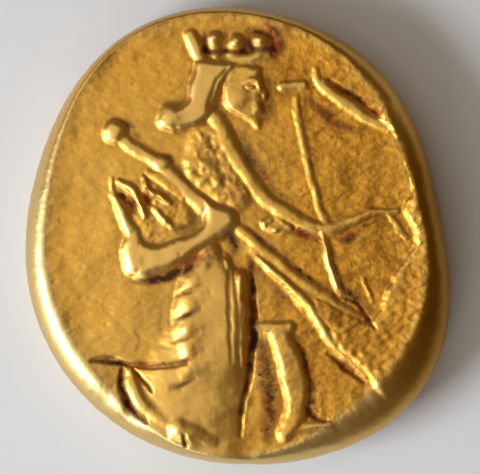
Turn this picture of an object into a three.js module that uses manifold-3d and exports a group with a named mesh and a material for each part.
// A hand-struck gold coin, lying on its punched reverse with the archer side up.
// Millimetres, +Z up, +Y towards the archer's crown, origin under the middle of the coin.

import * as THREE from 'three';
import { LoftGeometry } from 'three/addons/geometries/LoftGeometry.js';
import { mergeVertices } from 'three/addons/utils/BufferGeometryUtils.js';
import Module from 'manifold-3d';

const wasm = await Module();
wasm.setup();

// Flan: the uneven oval blank. Its outline is a circle with a few swells, each towards one angle.
const MEAN_RADIUS = 7.875;
const OUTLINE_SWELLS = [
  { waves: 1, swell: 0.13, towards: -71 },
  { waves: 2, swell: 0.4, towards: 107.5 },
  { waves: 3, swell: 0.19, towards: 84 },
  { waves: 4, swell: 0.115, towards: 44 },
  { waves: 5, swell: 0.065, towards: -31 },
];
const FLAN_SEGMENTS = 80;
const FIELD_HEIGHT = 2.39;
const FIELD_DOME = 0.06;
const LIP_HEIGHT = 0.05;
const LIP_WIDTH = 0.6;
const GIRTH_HEIGHT = 1.5;
const FOOT_ROUNDING = 1.3;
const EDGE_STEPS = 6;

// Flank: the bevelled band between the crest of the lip and the outline, broad at the lower right.
const MEAN_FLANK = 0.67;
const FLANK_SWELLS = [
  { waves: 1, swell: 0.295, towards: -54 },
  { waves: 2, swell: 0.217, towards: -3 },
  { waves: 3, swell: 0.165, towards: -43 },
  { waves: 4, swell: 0.155, towards: 43 },
  { waves: 5, swell: 0.092, towards: 24 },
];
const BEVEL = { start: 1.35, end: 1.6 };

// Punch mark in the reverse.
const PUNCH_WIDTH = 4.6;
const PUNCH_LENGTH = 8.2;
const PUNCH_DEPTH = 0.55;
const PUNCH_TURN = 8;
const PUNCH_DRAFT = 0.8;
const PUNCH_RIDGE_WIDTH = 0.9;
const PUNCH_RIDGE_RISE = 0.2;
const PUNCH_RIDGE_SIDES = 12;

// Relief: every stroke is a row of stations [x, y, half width, height above the field].
const STEPS_PER_SPAN = 3;
const ARC_STEPS = 5;
const STROKE_ROOT = 0.5;
const CAP_ANGLES = [72, 42];
const KNOB_SEGMENTS = 14;

const PELLETS = { from: [-1.45, 6.75], to: [0.8, 6.95], count: 4, radius: 0.27, rise: 0.05 };
const PELLET_NECK = { drop: 0.6, halfWidth: 0.11, rise: 0.18 };
const PLEATS = { from: [-2.0, -1.7], to: [-1.95, -3.9], count: 4, halfWidth: 0.2, rise: 0.26 };
const PLEAT_REACH = { length: 0.75, tilt: -35 };
const SPEAR_BUTT = { at: [-4.3, 3.72], radius: 0.42, rise: -0.05 };

const HEAD_STROKES = {
  crownBand: [[-1.35, 6.12, 0.16, 0.24], [-0.2, 6.2, 0.16, 0.28], [0.95, 6.4, 0.16, 0.24]],
  hair: [[-1.0, 5.95, 0.55, 0.24], [-1.25, 5.3, 0.58, 0.28], [-1.4, 4.6, 0.58, 0.28],
    [-1.9, 4.15, 0.46, 0.28], [-2.3, 4.1, 0.36, 0.24]],
  face: [[-0.1, 6.0, 0.7, 0.2], [0.05, 5.4, 0.85, 0.24], [0.1, 4.85, 0.85, 0.24], [0.1, 4.3, 0.6, 0.21]],
  nose: [[0.85, 5.6, 0.12, 0.2], [1.1, 5.15, 0.17, 0.24]],
  lips: [[0.6, 4.72, 0.14, 0.22], [0.95, 4.72, 0.13, 0.2]],
  beard: [[-0.35, 4.15, 0.42, 0.24], [-0.2, 3.2, 0.42, 0.29], [0.2, 2.4, 0.34, 0.28],
    [0.7, 1.65, 0.26, 0.24]],
};

const BODY_STROKES = {
  chest: [[-0.9, 3.5, 0.5, 0.13], [-1.0, 2.6, 0.85, 0.17], [-0.7, 1.6, 0.85, 0.2], [-0.6, 0.5, 0.6, 0.2],
    [-0.6, -0.6, 0.5, 0.2]],
  sleeve: [[-3.7, 1.2, 0.45, 0.13], [-2.8, 1.3, 0.9, 0.16], [-1.9, 0.9, 0.8, 0.16], [-1.2, 0.6, 0.6, 0.16]],
  drawnArm: [[-3.8, -0.75, 0.52, 0.3], [-2.55, -0.65, 0.48, 0.34], [-1.4, -0.05, 0.4, 0.34],
    [-0.75, 0.7, 0.45, 0.3]],
  outerFold: [[-4.35, 1.45, 0.17, 0.22], [-3.95, 0.7, 0.18, 0.26], [-3.65, -0.1, 0.18, 0.28]],
  middleFold: [[-4.1, 1.95, 0.14, 0.2], [-3.55, 1.4, 0.14, 0.24], [-3.0, 0.5, 0.14, 0.24]],
  innerFold: [[-3.3, 2.1, 0.13, 0.2], [-2.95, 1.55, 0.14, 0.24], [-2.3, 1.05, 0.13, 0.22]],
  hand: [[-3.2, 2.5, 0.25, 0.24], [-2.4, 1.85, 0.25, 0.26]],
  bowArm: [[0.6, 1.65, 0.32, 0.28], [1.75, 0.85, 0.25, 0.28], [2.8, 0.3, 0.24, 0.26], [3.25, 0.3, 0.32, 0.26],
    [4.3, 0.7, 0.17, 0.21], [5.4, 0.85, 0.12, 0.2]],
  cuff: [[0.85, 0.3, 0.22, 0.24], [1.65, 0.3, 0.22, 0.24]],
  robe: [[-0.5, -0.75, 0.5, 0.26], [-0.4, -1.6, 0.8, 0.37], [-0.55, -3.0, 1.05, 0.4],
    [-0.85, -4.5, 1.2, 0.4], [-1.1, -5.5, 1.4, 0.4], [-1.2, -6.2, 1.1, 0.33]],
  frontThigh: [[0.75, -3.25, 0.28, 0.24], [1.45, -3.35, 0.45, 0.28], [1.75, -4.3, 0.5, 0.32],
    [1.95, -5.3, 0.46, 0.3], [2.1, -6.1, 0.4, 0.28]],
  frontFoot: [[1.75, -6.85, 0.28, 0.24], [2.4, -6.6, 0.26, 0.26], [3.1, -6.55, 0.14, 0.22]],
  kneelingLeg: [[-3.8, -4.9, 0.2, 0.2], [-3.6, -5.7, 0.22, 0.22], [-2.9, -6.3, 0.2, 0.2]],
};

const WEAPON_STROKES = {
  spearShaft: [[-4.15, 3.58, 0.2, 0.22], [-2.65, 2.5, 0.24, 0.26], [-1.4, 1.35, 0.2, 0.25],
    [0.3, -0.25, 0.2, 0.25], [2.1, -1.8, 0.24, 0.26], [2.9, -2.5, 0.36, 0.26]],
  spearBlade: [[2.7, -2.35, 0.4, 0.26], [3.5, -3.15, 0.62, 0.24], [4.3, -4.0, 0.66, 0.2]],
  upperString: [[2.02, 4.9, 0.1, 0.16], [2.35, 2.9, 0.1, 0.16], [3.05, 0.6, 0.11, 0.17]],
  lowerString: [[3.0, 0.05, 0.11, 0.17], [3.3, -1.1, 0.11, 0.16], [3.75, -2.15, 0.12, 0.17]],
  bowLimb: [[2.75, 5.85, 0.12, 0.18], [2.85, 5.4, 0.17, 0.22], [3.6, 4.65, 0.19, 0.22],
    [5.3, 3.68, 0.14, 0.18]],
  bowTip: [[1.55, 5.3, 0.13, 0.18], [2.5, 5.25, 0.13, 0.18]],
  lowerLimb: [[5.3, 0.85, 0.12, 0.16], [5.85, 0.0, 0.12, 0.16]],
};

// Crushed band of the rim at the right, where the flan spread past the die. It lies against the crest of
// the lip, and its stations are [angle, half width, height above the field].
const CRUSHED_RIM = [[45, 0.2, 0.1], [25, 0.35, 0.15], [5, 0.35, 0.15], [-15, 0.5, 0.16], [-30, 0.6, 0.16],
  [-45, 0.4, 0.1]];

const GOLD = new THREE.MeshStandardMaterial({ name: 'gold', color: '#c69a43', roughness: 0.3, metalness: 1 });

const radians = THREE.MathUtils.degToRad;

// A length that swells and shrinks round the coin.
function swelling(mean, swells, angle) {
  return swells.reduce(
    (length, { waves, swell, towards }) => length + swell * Math.cos(waves * (angle - radians(towards))),
    mean,
  );
}

const outlineRadius = (angle) => swelling(MEAN_RADIUS, OUTLINE_SWELLS, angle);
const flankWidth = (angle) => swelling(MEAN_FLANK, FLANK_SWELLS, angle);
const crestLine = (angle) => outlineRadius(angle) - flankWidth(angle);

// Foot of the edge profile, a quarter of an ellipse from the resting face up to the girth.
function footArc() {
  return Array.from({ length: EDGE_STEPS + 1 }, (_, step) => {
    const angle = (Math.PI / 2) * (step / EDGE_STEPS);
    const radius = MEAN_RADIUS - FOOT_ROUNDING * (1 - Math.sin(angle));
    return new THREE.Vector2(radius, GIRTH_HEIGHT * (1 - Math.cos(angle)));
  });
}

// Flank of the edge profile, a soft bevel from just above the girth up to the crest.
function flankArc(crestRadius, crestHeight) {
  return Array.from({ length: EDGE_STEPS }, (_, step) => {
    const out = Math.cos((Math.PI / 2) * ((step + 1) / EDGE_STEPS));
    const rise = (1 - out ** BEVEL.start) ** (1 / BEVEL.end);
    return new THREE.Vector2(
      crestRadius + MEAN_FLANK * out,
      GIRTH_HEIGHT + (crestHeight - GIRTH_HEIGHT) * rise,
    );
  });
}

// The edge profile is turned on round radii first, then each ring is drawn out to the real outline.
function makeFlan() {
  const crestRadius = MEAN_RADIUS - MEAN_FLANK;
  const crestHeight = FIELD_HEIGHT + LIP_HEIGHT;
  const profile = [
    new THREE.Vector2(0, 0),
    ...footArc(),
    ...flankArc(crestRadius, crestHeight),
    new THREE.Vector2(crestRadius - LIP_WIDTH / 2, FIELD_HEIGHT + LIP_HEIGHT / 2),
    new THREE.Vector2(crestRadius - LIP_WIDTH, FIELD_HEIGHT),
    new THREE.Vector2(MEAN_RADIUS / 2, FIELD_HEIGHT + FIELD_DOME),
    new THREE.Vector2(0, FIELD_HEIGHT + FIELD_DOME),
  ];
  const flan = new THREE.LatheGeometry(profile, FLAN_SEGMENTS).rotateX(Math.PI / 2);
  const places = flan.attributes.position;
  for (let index = 0; index < places.count; index += 1) {
    const x = places.getX(index);
    const y = places.getY(index);
    const radius = Math.hypot(x, y);
    const angle = Math.atan2(y, x);
    const crest = crestLine(angle);
    const inside = (radius / crestRadius) * crest;
    const outside = crest + ((radius - crestRadius) / MEAN_FLANK) * flankWidth(angle);
    const drawn = radius <= crestRadius ? inside : outside;
    places.setXY(index, drawn * Math.cos(angle), drawn * Math.sin(angle));
  }
  return flan;
}

// One cross-section of a stroke: a half ellipse standing on a root below the field.
function strokeSection(place, side, halfWidth, height) {
  const root = FIELD_HEIGHT - STROKE_ROOT;
  const across = (offset, level) =>
    new THREE.Vector3(place.x + side.x * offset, place.y + side.y * offset, level);
  const arc = Array.from({ length: ARC_STEPS + 1 }, (_, step) => {
    const angle = (Math.PI * step) / ARC_STEPS;
    return across(halfWidth * Math.cos(angle), FIELD_HEIGHT + (height + FIELD_DOME) * Math.sin(angle));
  });
  return [across(halfWidth, root), ...arc, across(-halfWidth, root)];
}

// A raised stroke with rounded ends, lofted along a smooth path through its stations.
function makeStroke(stations) {
  const path = new THREE.CatmullRomCurve3(stations.map(([x, y]) => new THREE.Vector3(x, y, 0)));
  const sizes = new THREE.CatmullRomCurve3(
    stations.map(([, , halfWidth, height], order) => new THREE.Vector3(halfWidth, height, order)),
  );
  const spans = (stations.length - 1) * STEPS_PER_SPAN;
  const sections = [];
  const addSection = (part, reach, shrink) => {
    const tangent = path.getTangent(part);
    const size = sizes.getPoint(part);
    const place = path.getPoint(part).addScaledVector(tangent, reach * size.x);
    const side = new THREE.Vector2(-tangent.y, tangent.x);
    sections.push(strokeSection(place, side, size.x * shrink, size.y * shrink));
  };
  const caps = CAP_ANGLES.map(radians);
  caps.forEach((angle) => addSection(0, -Math.sin(angle), Math.cos(angle)));
  for (let step = 0; step <= spans; step += 1) {
    addSection(step / spans, 0, 1);
  }
  caps.toReversed().forEach((angle) => addSection(1, Math.sin(angle), Math.cos(angle)));
  return new LoftGeometry(sections, { capStart: true, capEnd: true });
}

function makeKnob([x, y], radius, rise) {
  const knob = new THREE.SphereGeometry(radius, KNOB_SEGMENTS, KNOB_SEGMENTS / 2);
  return knob.rotateX(Math.PI / 2).translate(x, y, FIELD_HEIGHT + rise);
}

// Evenly spaced places along the line of a row, both ends included.
function rowPlaces({ from, to, count }) {
  return Array.from({ length: count }, (_, order) =>
    [0, 1].map((axis) => THREE.MathUtils.lerp(from[axis], to[axis], order / (count - 1))));
}

// The crown's pellets stand in a row above its band, each on a short neck.
function makePellets() {
  const { drop, halfWidth, rise } = PELLET_NECK;
  return rowPlaces(PELLETS).flatMap(([x, y]) => [
    makeKnob([x, y], PELLETS.radius, PELLETS.rise),
    makeStroke([[x, y, halfWidth, rise], [x, y - drop, halfWidth, rise]]),
  ]);
}

// Short slanting pleats stand out along the back edge of the robe.
function makePleats() {
  const reachX = PLEAT_REACH.length * Math.cos(radians(PLEAT_REACH.tilt));
  const reachY = PLEAT_REACH.length * Math.sin(radians(PLEAT_REACH.tilt));
  const { halfWidth, rise } = PLEATS;
  return rowPlaces(PLEATS).map(([x, y]) =>
    makeStroke([[x, y, halfWidth, rise], [x + reachX, y + reachY, halfWidth, rise]]));
}

function makeCrushedRim() {
  return makeStroke(CRUSHED_RIM.map(([degrees, halfWidth, height]) => {
    const radius = crestLine(radians(degrees)) - halfWidth;
    return [radius * Math.cos(radians(degrees)), radius * Math.sin(radians(degrees)), halfWidth, height];
  }));
}

// The punch left an oblong hollow with sloping walls and a low ridge along its floor.
function makePunch() {
  const corners = [[1, 1], [-1, 1], [-1, -1], [1, -1]];
  const sections = [-PUNCH_DEPTH, PUNCH_DEPTH].map((level) => {
    const narrowing = (2 * PUNCH_DRAFT * level) / PUNCH_DEPTH;
    const halfWidth = (PUNCH_WIDTH - narrowing) / 2;
    const halfLength = (PUNCH_LENGTH - narrowing) / 2;
    return corners.map(([across, along]) => new THREE.Vector3(across * halfWidth, along * halfLength, level));
  });
  return new LoftGeometry(sections, { capStart: true, capEnd: true }).rotateZ(radians(PUNCH_TURN));
}

function makePunchRidge() {
  const ridge = new THREE.CylinderGeometry(1, 1, PUNCH_LENGTH, PUNCH_RIDGE_SIDES);
  ridge.scale(PUNCH_RIDGE_WIDTH / 2, 1, PUNCH_RIDGE_RISE);
  return ridge.translate(0, 0, PUNCH_DEPTH).rotateZ(radians(PUNCH_TURN));
}

// A closed body for joining and cutting, from a geometry whose shared corners are merged.
function toSolid(geometry) {
  const bare = new THREE.BufferGeometry();
  bare.setAttribute('position', geometry.attributes.position);
  bare.setIndex(geometry.index);
  const merged = mergeVertices(bare);
  const corners = Array.from(merged.index.array);
  const triVerts = [];
  for (let first = 0; first < corners.length; first += 3) {
    const triangle = corners.slice(first, first + 3);
    if (new Set(triangle).size === triangle.length) {
      triVerts.push(...triangle);
    }
  }
  const mesh = new wasm.Mesh({
    numProp: 3,
    vertProperties: merged.attributes.position.array,
    triVerts: Uint32Array.from(triVerts),
  });
  return new wasm.Manifold(mesh);
}

function toGeometry(solid) {
  const { vertProperties, triVerts } = solid.getMesh();
  const geometry = new THREE.BufferGeometry();
  geometry.setAttribute('position', new THREE.BufferAttribute(vertProperties, 3));
  geometry.setIndex(new THREE.BufferAttribute(triVerts, 1));
  geometry.computeVertexNormals();
  return geometry;
}

function makeCoin() {
  const strokes = [HEAD_STROKES, BODY_STROKES, WEAPON_STROKES].flatMap(Object.values).map(makeStroke);
  const butt = makeKnob(SPEAR_BUTT.at, SPEAR_BUTT.radius, SPEAR_BUTT.rise);
  const raised = [...strokes, ...makePellets(), ...makePleats(), butt, makeCrushedRim()];
  const struck = raised.map(toSolid).reduce((body, piece) => body.add(piece), toSolid(makeFlan()));
  const punched = struck.subtract(toSolid(makePunch()).subtract(toSolid(makePunchRidge())));
  const geometry = toGeometry(punched);
  geometry.computeBoundingBox();
  const middle = geometry.boundingBox.getCenter(new THREE.Vector3());
  geometry.translate(-middle.x, -middle.y, -geometry.boundingBox.min.z);
  const coin = new THREE.Mesh(geometry, GOLD);
  coin.name = 'coin';
  return coin;
}

const part = new THREE.Group();
part.add(makeCoin());

export default part;
